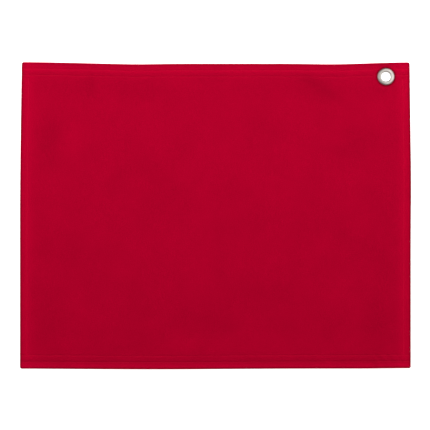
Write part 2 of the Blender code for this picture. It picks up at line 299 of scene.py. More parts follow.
def bowed(x, y):
    """Where a point of the flat, square towel lies."""
    x, y = round_corner(x, y)
    left_share = ease((-x - HALF_WIDTH + LEFT_REACH) / LEFT_REACH)
    right_share = ease((x - HALF_WIDTH + RIGHT_REACH) / RIGHT_REACH)
    top = LEFT_RISE * left_share + RIGHT_RISE * right_share - TOP_DRAW
    top = top - TOP_PUCKER * (dip(x, *LEFT_PUCKER) + dip(x, *RIGHT_PUCKER))
    bottom = BOTTOM_IN - BOTTOM_BOW * dip(x, *BOTTOM_BELLY)
    bottom = bottom + BOTTOM_LIFT * ease((x - LIFT_START) / LIFT_RUN)
    high = np.clip(y / HALF_DEPTH, 0, 1)
    left = LEFT_LEAN * high ** LEFT_POWER
    right = RIGHT_BOW * dip(y, *RIGHT_BELLY) - RIGHT_LEAN * high ** RIGHT_POWER
    moved_x = x + left * fall(HALF_WIDTH + x, 0, BOW_FADE) + right * fall(HALF_WIDTH - x, 0, BOW_FADE)
    moved_y = y + top * fall(HALF_DEPTH - y, 0, BOW_FADE) + bottom * fall(HALF_DEPTH + y, 0, BOW_FADE)
    return moved_x, moved_y


corner_x, corner_y = bowed(HALF_WIDTH, HALF_DEPTH)
print("top right corner at", round(corner_x / MM, 1), round(corner_y / MM, 1), "mm")

# %% [markdown]
# ## Slack and pressed marks
# A towel that has been folded and spread out again keeps low waves, and its pile stays
# pressed down in places. The waves are long sines whose crests wander, so they don't look
# ruled. A pressed mark is a soft ellipse that lies a little lower and has painted shade on
# it; a mark with a negative amount rises a little and has painted light. Cloth
# simulation would also give waves, but here it left creases along the mesh.

# %% Marks and waves
# Marks that folding and handling left in the field: place, length, width, direction in
# degrees, and an amount that sets both the mark's depth and its painted shade (painted
# light where negative). Millimetres from the middle.
MARKS = (
    (137, 164, 28, 8, -34, 0.11),
    (112, 176, 16, 6, -10, 0.05),
    (166, 83, 22, 9, -12, 0.11),
    (200, 96, 26, 14, 60, 0.04),
    (-211, 98, 36, 15, 84, 0.11),
    (-160, 170, 16, 8, 80, 0.05),
    (-124, 52, 18, 9, 50, 0.03),
    (-180, -90, 30, 12, 20, 0.03),
    (-218, -140, 34, 16, 84, 0.05),
    (-110, -166, 40, 10, 12, 0.06),
    (-14, -164, 26, 7, 50, 0.05),
    (204, -140, 34, 14, 86, 0.05),
    (-18, 20, 60, 24, 80, -0.03),
    (-180, 98, 24, 14, 70, -0.04),
    (60, -40, 80, 30, 20, -0.02),
)
MARK_DEPTH = 6 * MM  # a mark's depth, for each 1 of its darkness


def marks(x, y):
    """How pressed the field is at each point, which also sets its painted shade."""
    pressed = 0.0
    for mark_x, mark_y, length, width, turn, amount in MARKS:
        dx, dy = x / MM - mark_x, y / MM - mark_y
        c, s = math.cos(math.radians(turn)), math.sin(math.radians(turn))
        pressed = pressed + amount * dip(dx * c + dy * s, 0, length) * dip(dy * c - dx * s, 0, width)
    return pressed


# Long, low waves in the field: length in millimetres, direction and phase in degrees,
# and height in millimetres.
WAVES = (
    (210, 25, 40, 0.40),
    (165, 118, 200, 0.34),
    (128, 72, 310, 0.28),
    (97, 160, 90, 0.20),
    (74, 41, 150, 0.12),
)
WAVE_BEND = 14 * MM  # how far the waves' crests wander sideways
BEND_Y, BEND_X = 29, 23  # how fast they wander, in radians to a metre


def swell(x, y):
    """Height of the slack field over the floor, less the marks. It is never below 0."""
    x = x + WAVE_BEND * np.sin(y * BEND_Y + 1)
    y = y + WAVE_BEND * np.sin(x * BEND_X + 2)
    height = 0.0
    for length, turn, phase, rise in WAVES:
        turn, phase = math.radians(turn), math.radians(phase)
        along = (x * math.cos(turn) + y * math.sin(turn)) / (length * MM)
        height = height + rise * MM * np.sin(math.tau * along + phase)
    level = sum(rise for *_, rise in WAVES) * MM
    return np.maximum(level + height - MARK_DEPTH * marks(x, y), 0)


print("the middle of the field lies", round(float(swell(0.0, 0.0)) / MM, 2), "mm up")

# %% [markdown]
# ## Heights of the front and the back
# The front of a hem is higher than the field, because three plies lie on each other. The
# stitching pulls a furrow into it at each row and twists it into faint slanting waves,
# which sewers call roping. The back is level on the hems, lifts off the floor inside them,
# and is pulled flat where the eyelet's washer holds it.

# %% The section's sizes
PLY = 2.0 * MM
FOLD = 2.2 * MM  # how far in from the edge the fold has rounded over
INNER_FOLD = 1.0 * MM  # the same on a hem's inner edge, at the back
RAMP = 32 * MM  # over which the front comes down from a hem
PILLOW = 0.28 * MM  # swell of a hem between its rows
PILLOW_START = 0.3  # where the first swell starts, as a share of the fold
FURROW = 0.22 * MM  # depth of a stitch row in the pile
FURROW_REACH = 1.0 * MM
CORNER_PLIES = 0.3 * MM  # extra height where two hems cross
ROPE = 0.10 * MM  # height of the roping
ROPE_PITCH = 13 * MM
ROPE_SLANT = 0.7
ROPE_FADE_X, ROPE_FADE_Y = 37, 41  # how fast the roping comes and goes, in radians to a metre
STEP_EASE = 1 * MM  # how far inside its edge a hem starts to ease into what is beside it
INNER_CREASE = 0.6 * MM  # how far the ply lifts beside a hem's inner fold, at the back
CREASE_REACH = 0.5 * MM
PRESS_LIP = 0.55 * MM  # how far the flange's rim presses into the pile round it
LIP_START, LIP_RUN = 0.7 * MM, 1.4 * MM  # from inside the rim, and over what distance
PRESSED_TOP = flange_high.z - 1.5 * MM  # the cloth under the flange
PRESSED_BACK = washer_high.z + 0.25 * MM  # the cloth on the washer
PRESS_REACH = 9 * MM  # how far from the rim the front is pulled level
PRESS_REACH_BACK = 3 * MM
print("hem", round((HEM_TOP - PLY) / MM, 2), "mm above the field, rows at",
      [round(row / MM, 1) for row in END_ROWS + SIDE_ROWS], "mm")


# %% Heights at any point
def rows_sink(distance, rows):
    """How deep in a furrow a distance from the edge is: 1 on a row."""
    return sum(dip(distance, row, FURROW_REACH) for row in rows)


def pillows(distance, rows):
    """Swells from the edge to the first row, and from each row to the next."""
    stops = [PILLOW_START * FOLD, *rows]
    return sum(arch(distance, a, b) for a, b in zip(stops, stops[1:]))


def from_eyelet(x, y):
    """Distance of the bowed point from the eyelet's axis."""
    x, y = bowed(x, y)
    return np.hypot(x - EYELET_X, y - EYELET_Y)


def hem_cover(distance, hem):
    """How much of the cloth's back a hem covers: 1 on it, round at its inner fold."""
    share = np.clip((distance - hem + INNER_FOLD) / INNER_FOLD, 0, 1)
    return np.sqrt(1 - share ** 2)


def heights(x, y):
    """Heights of the front and of the back at points of the flat towel."""
    side, end = HALF_WIDTH - abs(x), HALF_DEPTH - abs(y)
    side_edge, end_edge = SIDE_HEM - STEP_EASE, END_HEM - STEP_EASE
    in_end = fall(end, end_edge, 2 * STEP_EASE)
    raised = 1 - (1 - fall(side, side_edge, RAMP)) * (1 - fall(end, end_edge, RAMP))
    in_field = (1 - fall(side, SIDE_HEM, RAMP)) * (1 - fall(end, END_HEM, RAMP))
    lifted = (HEM_TOP - PLY) * raised + swell(x, y) * in_field

    sewn = PILLOW * pillows(end, END_ROWS) - FURROW * rows_sink(end, END_ROWS)
    sewn += (PILLOW * pillows(side, SIDE_ROWS) - FURROW * rows_sink(side, SIDE_ROWS)) * (1 - in_end)
    sewn += CORNER_PLIES * fall(side, side_edge, 3 * STEP_EASE) * fall(end, end_edge, 3 * STEP_EASE)
    rope_end = np.sin((x + ROPE_SLANT * end) / ROPE_PITCH * math.tau) * (1 + np.sin(x * ROPE_FADE_X))
    rope_side = np.sin((y + ROPE_SLANT * side) / ROPE_PITCH * math.tau) * (1 + np.sin(y * ROPE_FADE_Y))
    sewn += ROPE * (rope_end * in_end + rope_side * (1 - in_end) * fall(side, SIDE_HEM, 2 * STEP_EASE))
    front = PLY + lifted + sewn

    covered = np.maximum(hem_cover(end, END_HEM), hem_cover(side, SIDE_HEM))
    under = FURROW * rows_sink(end, END_ROWS) + FURROW * rows_sink(side, SIDE_ROWS) * (1 - in_end)
    under += INNER_CREASE * dip(end, END_HEM, CREASE_REACH) * fall(side, side_edge, STEP_EASE)
    back = lifted * (1 - covered) + under * covered

    away = from_eyelet(x, y)
    pull = fall(away, FLANGE, PRESS_REACH)
    front = front * (1 - pull) + (PRESSED_TOP + PRESS_LIP) * pull
    front -= PRESS_LIP * fall(away, FLANGE - LIP_START, LIP_RUN)
    washer_pull = fall(away, FLANGE, PRESS_REACH_BACK)
    back = back * (1 - washer_pull) + PRESSED_BACK * washer_pull
    return front, back


def round_over(x, y):
    """0 at the folded edge, 1 where the fold has rounded over to the flat of the hem."""
    share = 1.0
    for distance in (HALF_WIDTH - abs(x), HALF_DEPTH - abs(y)):
        share = share * np.sqrt(1 - (1 - np.clip(distance / FOLD, 0, 1)) ** 2)
    return share


def surface(x, y):
    """Heights of the front and of the back, closed round the folded edge."""
    front, back = heights(x, y)
    half = (front + back) / 2
    share = round_over(x, y)
    return half + (front - half) * share, half + (back - half) * share


front, back = surface(0.0, 0.0)
print("the cloth is", round(float(front - back) / MM, 2), "mm thick in the middle")

# %% [markdown]
# ## The cloth
# One closed mesh stands for the panel and its hems, because on the real towel they are
# one piece of cloth. Its grid lines crowd together where the section bends: round the
# folded edge, at the stitch rows, at a hem's inner fold and round the eyelet. Front and
# back share the outermost ring of points, and a wall joins them inside the eyelet.

# %% Grid lines
FIELD_STEP = 4.6 * MM
HEM_STEP = 1.4 * MM
EYELET_STEP = 1.1 * MM
CLOSEST = 0.22 * MM
HEM_BAND = 30 * MM  # from an edge inwards, with the finer steps
FOLD_TURNS = range(0, 90, 15)  # degrees round the folded edge
ROW_LINES = range(-5, 6)  # lines across a furrow, on each side of its middle
ROW_LINE_GAP = 0.4  # between two of them, as a share of the furrow's reach
INNER_FOLD_LINES = (1, 0.7, 0.4, 0.15, 0)  # shares of the inner fold
EYELET_LINES = np.arange(-15, 16)


def edge_lines(hem, rows):
    """Distances from an edge, closest where the section bends."""
    lines = [FOLD * (1 - math.cos(math.radians(turn))) for turn in FOLD_TURNS]
    lines += list(np.arange(FOLD, HEM_BAND, HEM_STEP))
    for row in rows:
        lines += [row + step * ROW_LINE_GAP * FURROW_REACH for step in ROW_LINES]
    lines += [hem - INNER_FOLD * share for share in INNER_FOLD_LINES]
    return lines


def grid_lines(half, hem, rows, eyelet):
    """All lines across the towel in one direction, sorted and not too close."""
    lines = [side * (half - line) for line in edge_lines(hem, rows) for side in (-1, 1)]
    field = half - HEM_BAND
    lines += list(np.linspace(-field, field, round(2 * field / FIELD_STEP)))
    lines += list(eyelet + EYELET_LINES * EYELET_STEP)
    kept = [-half]
    for line in sorted(lines):
        if kept[-1] + CLOSEST < line < half - CLOSEST:
            kept.append(line)
    return np.array(kept + [half])


xs = grid_lines(HALF_WIDTH, SIDE_HEM, SIDE_ROWS, EYELET_X)
ys = grid_lines(HALF_DEPTH, END_HEM, END_ROWS, EYELET_Y)
flat_x, flat_y = np.meshgrid(xs, ys, indexing="ij")
print("grid", len(xs), "by", len(ys))

# %% [markdown]
# ## Making and marking meshes
# Every piece is made from lists of points and faces, because its points then land where
# the section says. Two facts are stored at each point of the cloth: its place on the flat
# towel, which keeps the patterns fixed when it folds, and the light and shade painted on
# its pile.

# %% Meshes and what their points carry
def new_mesh(name, points, faces):
    """A smooth-shaded mesh object."""
    mesh = bpy.data.meshes.new(name)
    mesh.from_pydata(np.asarray(points).tolist(), [], [list(map(int, face)) for face in faces])
    mesh.shade_smooth()
    thing = bpy.data.objects.new(name, mesh)
    bpy.context.collection.objects.link(thing)
    return thing


def give(thing, name, kind, values):
    """Stores a value for each of an object's points."""
    field = "vector" if kind == "FLOAT_VECTOR" else "value"
    layer = thing.data.attributes.new(name, kind, "POINT")
    layer.data.foreach_set(field, np.asarray(values, np.float32).ravel())


print("points will carry flat_place and painted_light_and_shade")

# %% [markdown]
# ## Light and shade painted on the pile
# The cloth's light and shade are partly painted into its colour, as one factor that is 1
# on the field. The folded edge and the crease round the eyelet get painted shade. The swell
# inside the fold, a band along each side hem and the corners get painted light. The stitch
# rows get painted light or shade. This could be left to the lamps, but a real pile shows
# far more of it than a smooth surface does, so the painted light and shade is stored in
# the cloth.

# %% The pile's shade
# Painted light and shade along each edge, as bells: how much brighter, where and how wide,
# in millimetres from the edge.
TOP_PAINTED_LIGHT = ((-0.22, 1.6, 1.7), (0.13, 7.8, 3.2), (0.04, 8.5, 1.2), (0.055, 15.7, 1.3))
BOTTOM_PAINTED_LIGHT = ((-0.12, 1.0, 1.1), (0.23, 4.3, 2.3), (-0.05, 7.7, 1.0), (-0.05, 15.7, 1.4))
SIDE_PAINTED_LIGHT = ((-0.40, 1.2, 1.6), (0.045, 4.2, 1.6), (0.05, 8.6, 1.3), (0.14, 9.5, 7.0))
SIDE_PAINTED_LIGHT_AT_ENDS = 0.4  # the share of it that is left where an end hem crosses
CORNER_PAINTED_LIGHT = 0.07
CORNER_PAINTED_LIGHT_REACH = 28 * MM
# Painted shade in the crease round the eyelet.
PAINTED_CREASE_SHADE = -0.55  # in the crease round the eyelet
CREASE_OFFSET, CREASE_WIDTH = 0.8 * MM, 1.2 * MM  # outside the flange's rim


def bells(distance, shapes):
    """The sum of a row of bells at a distance from the edge."""
    return sum(amount * dip(distance / MM, centre, reach) for amount, centre, reach in shapes)


def painted_light_and_shade(flat):
    """Painted light and shade as a factor on the colour, beside the field's 1."""
    x, y = flat[:, 0], flat[:, 1]
    side, top, bottom = HALF_WIDTH - abs(x), HALF_DEPTH - y, HALF_DEPTH + y
    beside_ends = ease((np.minimum(top, bottom) - 0.5 * END_HEM) / END_HEM)
    shade = 1 + bells(top, TOP_PAINTED_LIGHT) + bells(bottom, BOTTOM_PAINTED_LIGHT)
    side_light_share = SIDE_PAINTED_LIGHT_AT_ENDS + (1 - SIDE_PAINTED_LIGHT_AT_ENDS) * beside_ends
    shade += bells(side, SIDE_PAINTED_LIGHT[:1]) + bells(side, SIDE_PAINTED_LIGHT[1:]) * side_light_share
    # Painted light at the corners.
    corner = dip(side, 0, CORNER_PAINTED_LIGHT_REACH) * dip(np.minimum(top, bottom), 0, CORNER_PAINTED_LIGHT_REACH)
    shade += CORNER_PAINTED_LIGHT * corner
    # Painted shade round the flange's rim.
    shade += PAINTED_CREASE_SHADE * dip(from_eyelet(x, y), FLANGE + CREASE_OFFSET, CREASE_WIDTH)
    # The marks' painted shade, and painted light where an amount is negative.
    return shade - marks(x, y)


print("pile shade in the middle", round(float(painted_light_and_shade(np.zeros((1, 3)))[0]), 2))

# %% [markdown]
# ## The cloth's mesh
# The grid is laid once for the front and once for the back. Squares over the eyelet's
# barrel are left out, the ring of points round them is drawn in to a true circle, and a
# wall joins front and back there. The flange and the washer hide that hole's edge.

# %% Open the hole for the barrel
HOLE = BORE + METAL + 0.9 * MM  # radius, between the barrel and the flange's rim
LOOP_OVERLAP = 0.1 * MM  # how far under a hem's inner fold the loops start


def open_hole(x, y):
    """Draws the points round the hole in to a circle. Also says which squares are gone."""
    away = np.hypot(x - EYELET_X, y - EYELET_Y)
    cut = away < HOLE + EYELET_STEP / 2
    gone = cut[:-1, :-1] | cut[1:, :-1] | cut[1:, 1:] | cut[:-1, 1:]
    on_hole = np.zeros_like(cut)
    columns, rows = gone.shape
    for i in (0, 1):
        for j in (0, 1):
            on_hole[i:columns + i, j:rows + j] |= gone
    shrink = np.where(on_hole & ~cut, HOLE / np.maximum(away, MM), 1.0)
    return EYELET_X + (x - EYELET_X) * shrink, EYELET_Y + (y - EYELET_Y) * shrink, gone


def both_sides(x, y, front, back, rim):
    """The points of the front, then those of the back that aren't on the rim."""
    return np.concatenate([
        np.stack([x, y, front], 2).reshape(-1, 3), np.stack([x, y, back], 2)[~rim],
    ])


# %% Points and faces
def weave_cloth():
    """The closed mesh of the cloth, with its flat places and the light and shade painted on its pile."""
    x, y, gone = open_hole(*bowed(flat_x, flat_y))
    front, back = surface(flat_x, flat_y)
    columns, rows = flat_x.shape

    rim = np.zeros((columns, rows), bool)
    rim[[0, -1], :] = rim[:, [0, -1]] = True
    front_of = np.arange(columns * rows).reshape(columns, rows)
    back_of = front_of.copy()
    back_of[~rim] = columns * rows + np.arange((~rim).sum())
    points = both_sides(x, y, front, back, rim)
    flat = both_sides(flat_x, flat_y, front, back, rim)

    faces, kinds = [], []
    side, end = HALF_WIDTH - abs(flat_x), HALF_DEPTH - abs(flat_y)
    looped = (side > SIDE_HEM - LOOP_OVERLAP) & (end > END_HEM - LOOP_OVERLAP)
    for i in range(columns - 1):
        for j in range(rows - 1):
            corners = ((i, j), (i + 1, j), (i + 1, j + 1), (i, j + 1))
            if gone[i, j]:
                continue
            faces.append([front_of[c] for c in corners])
            faces.append([back_of[c] for c in reversed(corners)])
            kinds += [0, int(all(looped[c] for c in corners))]
            for step, (a, b) in enumerate(zip(corners, corners[1:] + corners[:1])):
                beside = ((i, j - 1), (i + 1, j), (i, j + 1), (i - 1, j))[step]
                inside = 0 <= beside[0] < columns - 1 and 0 <= beside[1] < rows - 1
                if inside and gone[beside]:
                    faces.append([front_of[b], front_of[a], back_of[a], back_of[b]])
                    kinds.append(0)
    used = np.unique(np.concatenate([np.ravel(face) for face in faces]))
    renumber = np.zeros(len(points), int)
    renumber[used] = np.arange(len(used))
    faces = [[renumber[corner] for corner in face] for face in faces]
    cloth = new_mesh("towel_cloth", points[used], faces)
    cloth.data.polygons.foreach_set("material_index", np.array(kinds, np.int32))
    give(cloth, "flat_place", "FLOAT_VECTOR", flat[used])
    # The painted light and shade, a factor on the velour's colour.
    give(cloth, "painted_light_and_shade", "FLOAT", painted_light_and_shade(flat[used]))
    return cloth


cloth = weave_cloth()
print("cloth", len(cloth.data.vertices), "points", len(cloth.data.polygons), "faces")

# %% [markdown]
# ## Velour
# Velour is cotton terry whose loops are shorn off, so that the yarn ends stand up like a
# short brush. It could be made of hairs, but at this size noise in the colour and in the
# bump looks the same and exports well. The eye gets a matt, deep red with fine flecks and
# faint patches where the nap leans another way. Dye fills the fibres, so there is hardly
# any specular light, only the glow of the fibres' ends, which is Blender's sheen.

# %% Velour
CLOTH_RED = "#b5002b"
DEEP_RED = "#940020"  # between the yarn ends
SHEEN_RED = "#ff2040"
NAP_SIZE = 38 * MM  # patches where the nap leans another way
NAP_SHARE = 0.12  # how much of the colour change is theirs
YARN_SIZE = 0.9 * MM  # yarn ends, drawn coarser than they are so that they show
YARN_SHARE = 0.75
PILE_RELIEF = 0.6 * MM
FABRIC_ROUGHNESS = 0.95
FABRIC_SPECULAR = 0.02


def cloth_place(tree):
    """A point's place on the flat cloth, or in a stitched or turned piece."""
    return add(tree, "ShaderNodeAttribute", attribute_name="flat_place").outputs["Vector"]


def velour():
    """Sheared cotton: matt, flecked, and scaled by the light and shade painted on its pile."""
    material, tree = new_material("velour_cotton")
    place = cloth_place(tree)
    nap = add(tree, "ShaderNodeTexNoise", {"Vector": place, "Scale": 1 / NAP_SIZE, "Detail": 3})
    yarn = add(tree, "ShaderNodeTexNoise", {
        "Vector": place, "Scale": 1 / YARN_SIZE, "Detail": 3, "Roughness": 0.7,
    })
    # Noise seldom leaves these ranges, so stretching them gives its full contrast.
    lean = add(tree, "ShaderNodeMapRange", {"Value": nap.outputs[0], "From Min": 0.35, "From Max": 0.65})
    grain = add(tree, "ShaderNodeMapRange", {"Value": yarn.outputs[0], "From Min": 0.3, "From Max": 0.7})
    patch = add(tree, "ShaderNodeMath", {0: lean.outputs[0], 1: NAP_SHARE}, operation="MULTIPLY")
    fleck = add(tree, "ShaderNodeMath", {
        0: grain.outputs[0], 1: YARN_SHARE, 2: patch.outputs[0],
    }, operation="MULTIPLY_ADD")
    field = add(tree, "ShaderNodeMix", {
        0: fleck.outputs[0], "A": linear(CLOTH_RED), "B": linear(DEEP_RED),
    }, data_type="RGBA")
    # Painted light and shade, stored at each point, scales the colour.
    shade = add(tree, "ShaderNodeAttribute", attribute_name="painted_light_and_shade")
    colour = add(tree, "ShaderNodeVectorMath", {
        0: field.outputs["Result"], "Scale": shade.outputs["Fac"],
    }, operation="SCALE")
    height = add(tree, "ShaderNodeBump", {
        "Height": yarn.outputs[0], "Strength": 0.9, "Distance": PILE_RELIEF,
    })
    finish_material(tree, add(tree, "ShaderNodeBsdfPrincipled", {
        "Base Color": colour.outputs["Vector"], "Normal": height.outputs[0],
        "Roughness": FABRIC_ROUGHNESS, "Specular IOR Level": FABRIC_SPECULAR,
        "Sheen Weight": 0.6, "Sheen Roughness": 0.4, "Sheen Tint": linear(SHEEN_RED),
    }))
    return material


cloth.data.materials.append(velour())
print("velour yarn ends", round(YARN_SIZE / MM, 1), "mm, nap patches", round(NAP_SIZE / MM), "mm")

# %% [markdown]
# ## Terry loops
# The back keeps its loops, which stand about 1.6 mm apart and lean in all directions.
# Modelled loops would need millions of faces. Voronoi cells give each loop a crown, and a
# dark gap round it, which is what the eye takes for terry.

# %% Terry loops
LOOP_RED = "#b4002e"
LOOP_SHADE = "#7c001a"  # the gaps between the loops
LOOP_ROW = 1.6 * MM
LOOP_RELIEF = 0.9 * MM
LOOP_NAP_SHARE = 0.3


def terry():
    """Unsheared loops: rough, with a shadow round each loop."""
    material, tree = new_material("terry_loops")
    place = cloth_place(tree)
    loops = add(tree, "ShaderNodeTexVoronoi", {
        "Vector": place, "Scale": 1 / LOOP_ROW, "Randomness": 0.7,
    }, voronoi_dimensions="2D")
    nap = add(tree, "ShaderNodeTexNoise", {"Vector": place, "Scale": 1 / NAP_SIZE, "Detail": 3})
    depth = add(tree, "ShaderNodeMapRange", {
        "Value": loops.outputs["Distance"], "From Min": 0.15, "From Max": 0.75,
    })
    shade = add(tree, "ShaderNodeMath", {
        0: nap.outputs[0], 1: LOOP_NAP_SHARE, 2: depth.outputs[0],
    }, operation="MULTIPLY_ADD")
    colour = add(tree, "ShaderNodeMix", {
        0: shade.outputs[0], "A": linear(LOOP_RED), "B": linear(LOOP_SHADE),
    }, data_type="RGBA")
    height = add(tree, "ShaderNodeBump", {
        "Height": depth.outputs[0], "Strength": 0.9, "Distance": LOOP_RELIEF,
    }, invert=True)
    finish_material(tree, add(tree, "ShaderNodeBsdfPrincipled", {
        "Base Color": colour.outputs["Result"], "Normal": height.outputs[0],
        "Roughness": FABRIC_ROUGHNESS, "Specular IOR Level": FABRIC_SPECULAR,
        "Sheen Weight": 0.2, "Sheen Roughness": 0.6, "Sheen Tint": linear(SHEEN_RED),
    }))
    return material


cloth.data.materials.append(terry())
print("terry loops", round(LOOP_ROW / MM, 1), "mm apart")

# %% [markdown]
# ## The sewing threads
# A lockstitch has one thread on each face, and they lock inside the cloth at every
# needle hole. So each thread is a chain of short slanting bridges that dive into the
# cloth at the holes. A dashed line in the material would be flat. A round section swept
# along that path gives real stitches that catch the light, and each row is one piece.

# %% The path of a row
STITCH = 3.0 * MM
# One stitch: shares of its length, and heights in thread widths over the cloth.
BRIDGE = ((0, -0.45), (0.10, -0.05), (0.25, 0.14), (0.5, 0.2), (0.75, 0.14), (0.90, -0.05))
SLANT = 0.12 * MM  # how far each bridge leans across its row
THREAD_SIDES = 6
ROW_END = 2 * MM


def stitches(start, stop, back):
    """The path of a thread along a row of the flat towel, from one point to another."""
    length = math.dist(start, stop)
    count = round(length / STITCH)
    shares = np.array([(stitch + share) / count for stitch in range(count) for share, _ in BRIDGE] + [1])
    rise = np.array([height for _ in range(count) for _, height in BRIDGE] + [BRIDGE[0][1]]) * THREAD
    lean = np.array([(share - 0.5) * SLANT for _ in range(count) for share, _ in BRIDGE] + [0])
    along = (np.array(stop) - start) / length
    x = start[0] + (stop[0] - start[0]) * shares - along[1] * lean
    y = start[1] + (stop[1] - start[1]) * shares + along[0] * lean
    front, under = surface(x, y)
    z = np.maximum(under - rise, THREAD / 2) if back else front + rise
    x, y = bowed(x, y)
    path = np.stack([x, y, z], 1)
    clear = np.hypot(x - EYELET_X, y - EYELET_Y) > FLANGE + THREAD
    runs = np.split(path, np.flatnonzero(np.diff(clear)) + 1)
    shown = [clear[0] ^ (index % 2) for index in range(len(runs))]  # clear and hidden runs alternate
    return [run for run, kept in zip(runs, shown) if kept and len(run) > 2]


print("one stitch takes", len(BRIDGE), "points on", round(STITCH / MM, 1), "mm")


# %% Sweep a round thread along a path
def sweep(run, radius):
    """Points and faces of a round section swept along a path, with closed ends."""
    along = np.gradient(run, axis=0)
    along /= np.linalg.norm(along, axis=1)[:, None]
    across = np.cross(along, (0, 0, 1))
    across /= np.linalg.norm(across, axis=1)[:, None]
    up = np.cross(across, along)
    turns = np.arange(THREAD_SIDES) / THREAD_SIDES * math.tau
    rings = run[:, None] + radius * (
        across[:, None] * np.cos(turns)[None, :, None] + up[:, None] * np.sin(turns)[None, :, None]
    )
    number = np.arange(len(run) * THREAD_SIDES).reshape(len(run), THREAD_SIDES)
    beside = np.roll(number, -1, 1)
    faces = np.stack([number[:-1], number[1:], beside[1:], beside[:-1]], 2).reshape(-1, 4).tolist()
    faces += [number[0].tolist(), number[-1][::-1].tolist()]
    return rings.reshape(-1, 3), faces


def sew(name, start, stop, back):
    """One thread of one row, as a piece."""
    points, faces, count = [], [], 0
    for run in stitches(start, stop, back):
        ring_points, ring_faces = sweep(run, THREAD / 2)
        points.append(ring_points)
        faces += [[corner + count for corner in face] for face in ring_faces]
        count += len(ring_points)
    thread = new_mesh(name, np.concatenate(points), faces)
    give(thread, "flat_place", "FLOAT_VECTOR", np.concatenate(points))
    return thread


# %% Lay the rows
reach = HALF_WIDTH - ROW_END
side_reach = HALF_DEPTH - END_HEM - ROW_END
rows = {}
for face, back in (("needle", False), ("bobbin", True)):
    for word, sign in (("top", 1), ("bottom", -1)):
        for row, inset in zip(("outer", "inner"), END_ROWS):
            y = sign * (HALF_DEPTH - inset)
            rows[f"{face}_thread_{word}_{row}"] = sew(
                f"{face}_row_{word}_{row}", (-reach, y), (reach, y), back
            )
    for word, sign in (("left", -1), ("right", 1)):
        x = sign * (HALF_WIDTH - SIDE_ROWS[0])
        rows[f"{face}_thread_side_{word}"] = sew(
            f"{face}_row_side_{word}", (x, -side_reach), (x, side_reach), back
        )
print(len(rows), "thread runs")

# %% [markdown]
# ## Spun polyester thread
# Sewing thread for towels is two or three plies of spun polyester. It is a little
# brighter and smoother than the pile, so the eye picks out the rows. Its twist is only
# hinted at, by fine noise in the colour and the bump.

# %% Spun polyester thread
THREAD_RED = "#cc0030"
TWIST = 0.5 * MM
TWIST_RELIEF = 0.1 * MM


def polyester():
    """Spun thread: smoother than the pile, with a faint twist."""
    material, tree = new_material("spun_polyester_thread")
    place = cloth_place(tree)
    twist = add(tree, "ShaderNodeTexNoise", {"Vector": place, "Scale": 1 / TWIST, "Detail": 1})
    colour = add(tree, "ShaderNodeMix", {
        0: twist.outputs[0], "A": linear(THREAD_RED), "B": linear(CLOTH_RED),
    }, data_type="RGBA")
    height = add(tree, "ShaderNodeBump", {
        "Height": twist.outputs[0], "Strength": 0.4, "Distance": TWIST_RELIEF,
    })
    finish_material(tree, add(tree, "ShaderNodeBsdfPrincipled", {
        "Base Color": colour.outputs["Result"], "Normal": height.outputs[0],
        "Roughness": 0.6, "Specular IOR Level": 0.1,
        "Sheen Weight": 0.3, "Sheen Roughness": 0.4, "Sheen Tint": linear(SHEEN_RED),
    }))
    return material


thread_finish = polyester()
for thread in rows.values():
    thread.data.materials.append(thread_finish)
print("thread", round(THREAD / MM, 2), "mm thick")

# %% [markdown]
# ## The eyelet
# An eyelet is two pressed pieces of brass sheet, plated with nickel. The front one is a
# domed flange with a barrel. The barrel goes through the cloth and through a washer, and
# a punch rolls its end out under the washer. Like on a lathe, a section is drawn once and
# turned about the axis, with many more steps than the plain solid has.

# %% Sections of sheet metal
TURN_STEPS = 128
END_STEPS = 4  # points round an end of the sheet
DOME_DROP = 0.85 * MM  # from the crown of the flange to its rim
EDGE_CURL = 0.35  # the share of that drop which is the curl at the rim
RIM_PAINTED_SHARE = 0.8  # how far the plate turns to its painted shade and painted reflection at the rim
RIM_REACH = 2.2 * MM


def arc(centre_r, centre_z, radius, start, stop, steps):
    """Points (r, z) on a circle between two angles in degrees."""
    turns = np.radians(np.linspace(start, stop, steps + 1))
    return [(centre_r + radius * math.cos(t), centre_z + radius * math.sin(t)) for t in turns]


def sheet_section(path, thickness):
    """The outline of sheet metal along a path, with round ends."""
    path = np.array(path)
    along = np.gradient(path, axis=0)
    along /= np.linalg.norm(along, axis=1)[:, None]
    off = np.stack([-along[:, 1], along[:, 0]], 1) * thickness / 2
    turns = np.linspace(0, math.pi, END_STEPS + 2)[1:-1]
    far = [off[-1] * math.cos(t) + along[-1] * thickness / 2 * math.sin(t) for t in turns]
    near = [-off[0] * math.cos(t) - along[0] * thickness / 2 * math.sin(t) for t in turns]
    return np.concatenate([path + off, path[-1] + far, (path - off)[::-1], path[0] + near])


